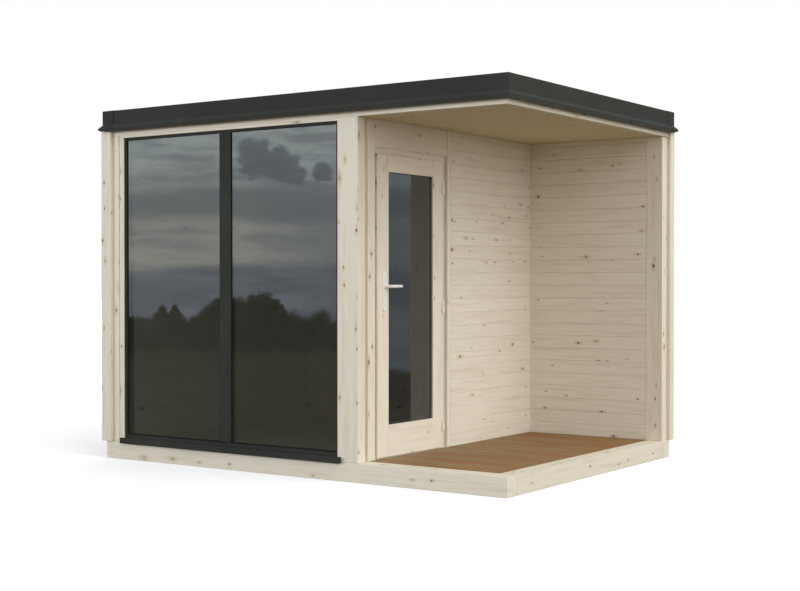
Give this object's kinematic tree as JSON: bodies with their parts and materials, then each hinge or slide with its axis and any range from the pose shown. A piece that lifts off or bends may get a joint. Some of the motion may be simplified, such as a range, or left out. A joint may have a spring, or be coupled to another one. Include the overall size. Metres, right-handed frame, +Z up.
{
  "type": "outdoor sauna cabin",
  "caption": "Flat-roofed timber sauna cabin with a wide dark front window, a glazed door that opens onto a covered corner terrace, and a dark metal roof edge.",
  "frame": {"origin": "on the ground, at the middle of the overall plan with the roof drips included", "axes": "+Z up, -Y towards the glazed front, +X towards the open side of the terrace"},
  "size_m": [3.305, 2.351, 2.415],
  "materials": {
    "spruce": "planed, untreated, with small brown knots",
    "deck_boards": "oiled brown terrace boards",
    "window_profile": "dark grey matte powder coat",
    "tinted_glass": "dark tinted, reflective, clear surface",
    "fascia_metal": "anthracite matte coated sheet",
    "satin_steel": "satin",
    "roof_membrane": "matte black sheet"
  },
  "bodies": {
    "cabin": {"base_long_beams": "spruce", "base_side_beams": "spruce", "floor_joists": "spruce", "room_floor": "spruce", "terrace_deck": "deck_boards", "front_corner_post": "spruce", "left_corner_post": "spruce", "window_jamb": "spruce", "window_base_rail": "spruce", "window_head": "spruce", "left_wall": "spruce", "room_back_wall": "spruce", "terrace_back_wall": "spruce", "terrace_end_post": "spruce", "door_studs": "spruce", "door_header": "spruce", "door_wall": "spruce", "left_cladding": "spruce", "back_cladding": "spruce", "corner_trims": "spruce", "window_stiles": "window_profile", "window_rails": "window_profile", "window_mullion": "window_profile", "window_glass_left": "tinted_glass", "window_glass_right": "tinted_glass", "window_sill": "fascia_metal", "door_jambs": "spruce", "door_head": "spruce", "hinge_frame_halves": "satin_steel", "edge_beams_long": "spruce", "edge_beams_side": "spruce", "ceiling": "spruce", "roof_joists": "spruce", "roof_boarding": "spruce", "roof_membrane": "roof_membrane", "fascia_front": "fascia_metal", "fascia_right": "fascia_metal", "fascia_back": "fascia_metal", "fascia_left": "fascia_metal"},
    "door": {"door_stiles": "spruce", "door_rails": "spruce", "door_glass": "tinted_glass", "hinge_leaf_halves": "satin_steel", "handle_plates": "satin_steel"},
    "lever": {"lever": "satin_steel"}
  },
  "joints": [
    {"name": "door_hinge", "type": "hinge", "parent": "cabin", "child": "door", "pos_m": [0.5685, -0.1865, 1], "axis": [0, 0, 1], "range_deg": [0, 170]},
    {"name": "lever_turn", "type": "hinge", "parent": "door", "child": "lever", "pos_m": [0.5605, -0.8535, 1.2], "axis": [-1, 0, 0], "range_deg": [0, 40], "stiffness_Nm_per_rad": 1.2, "springref_deg": -20.05}
  ]
}
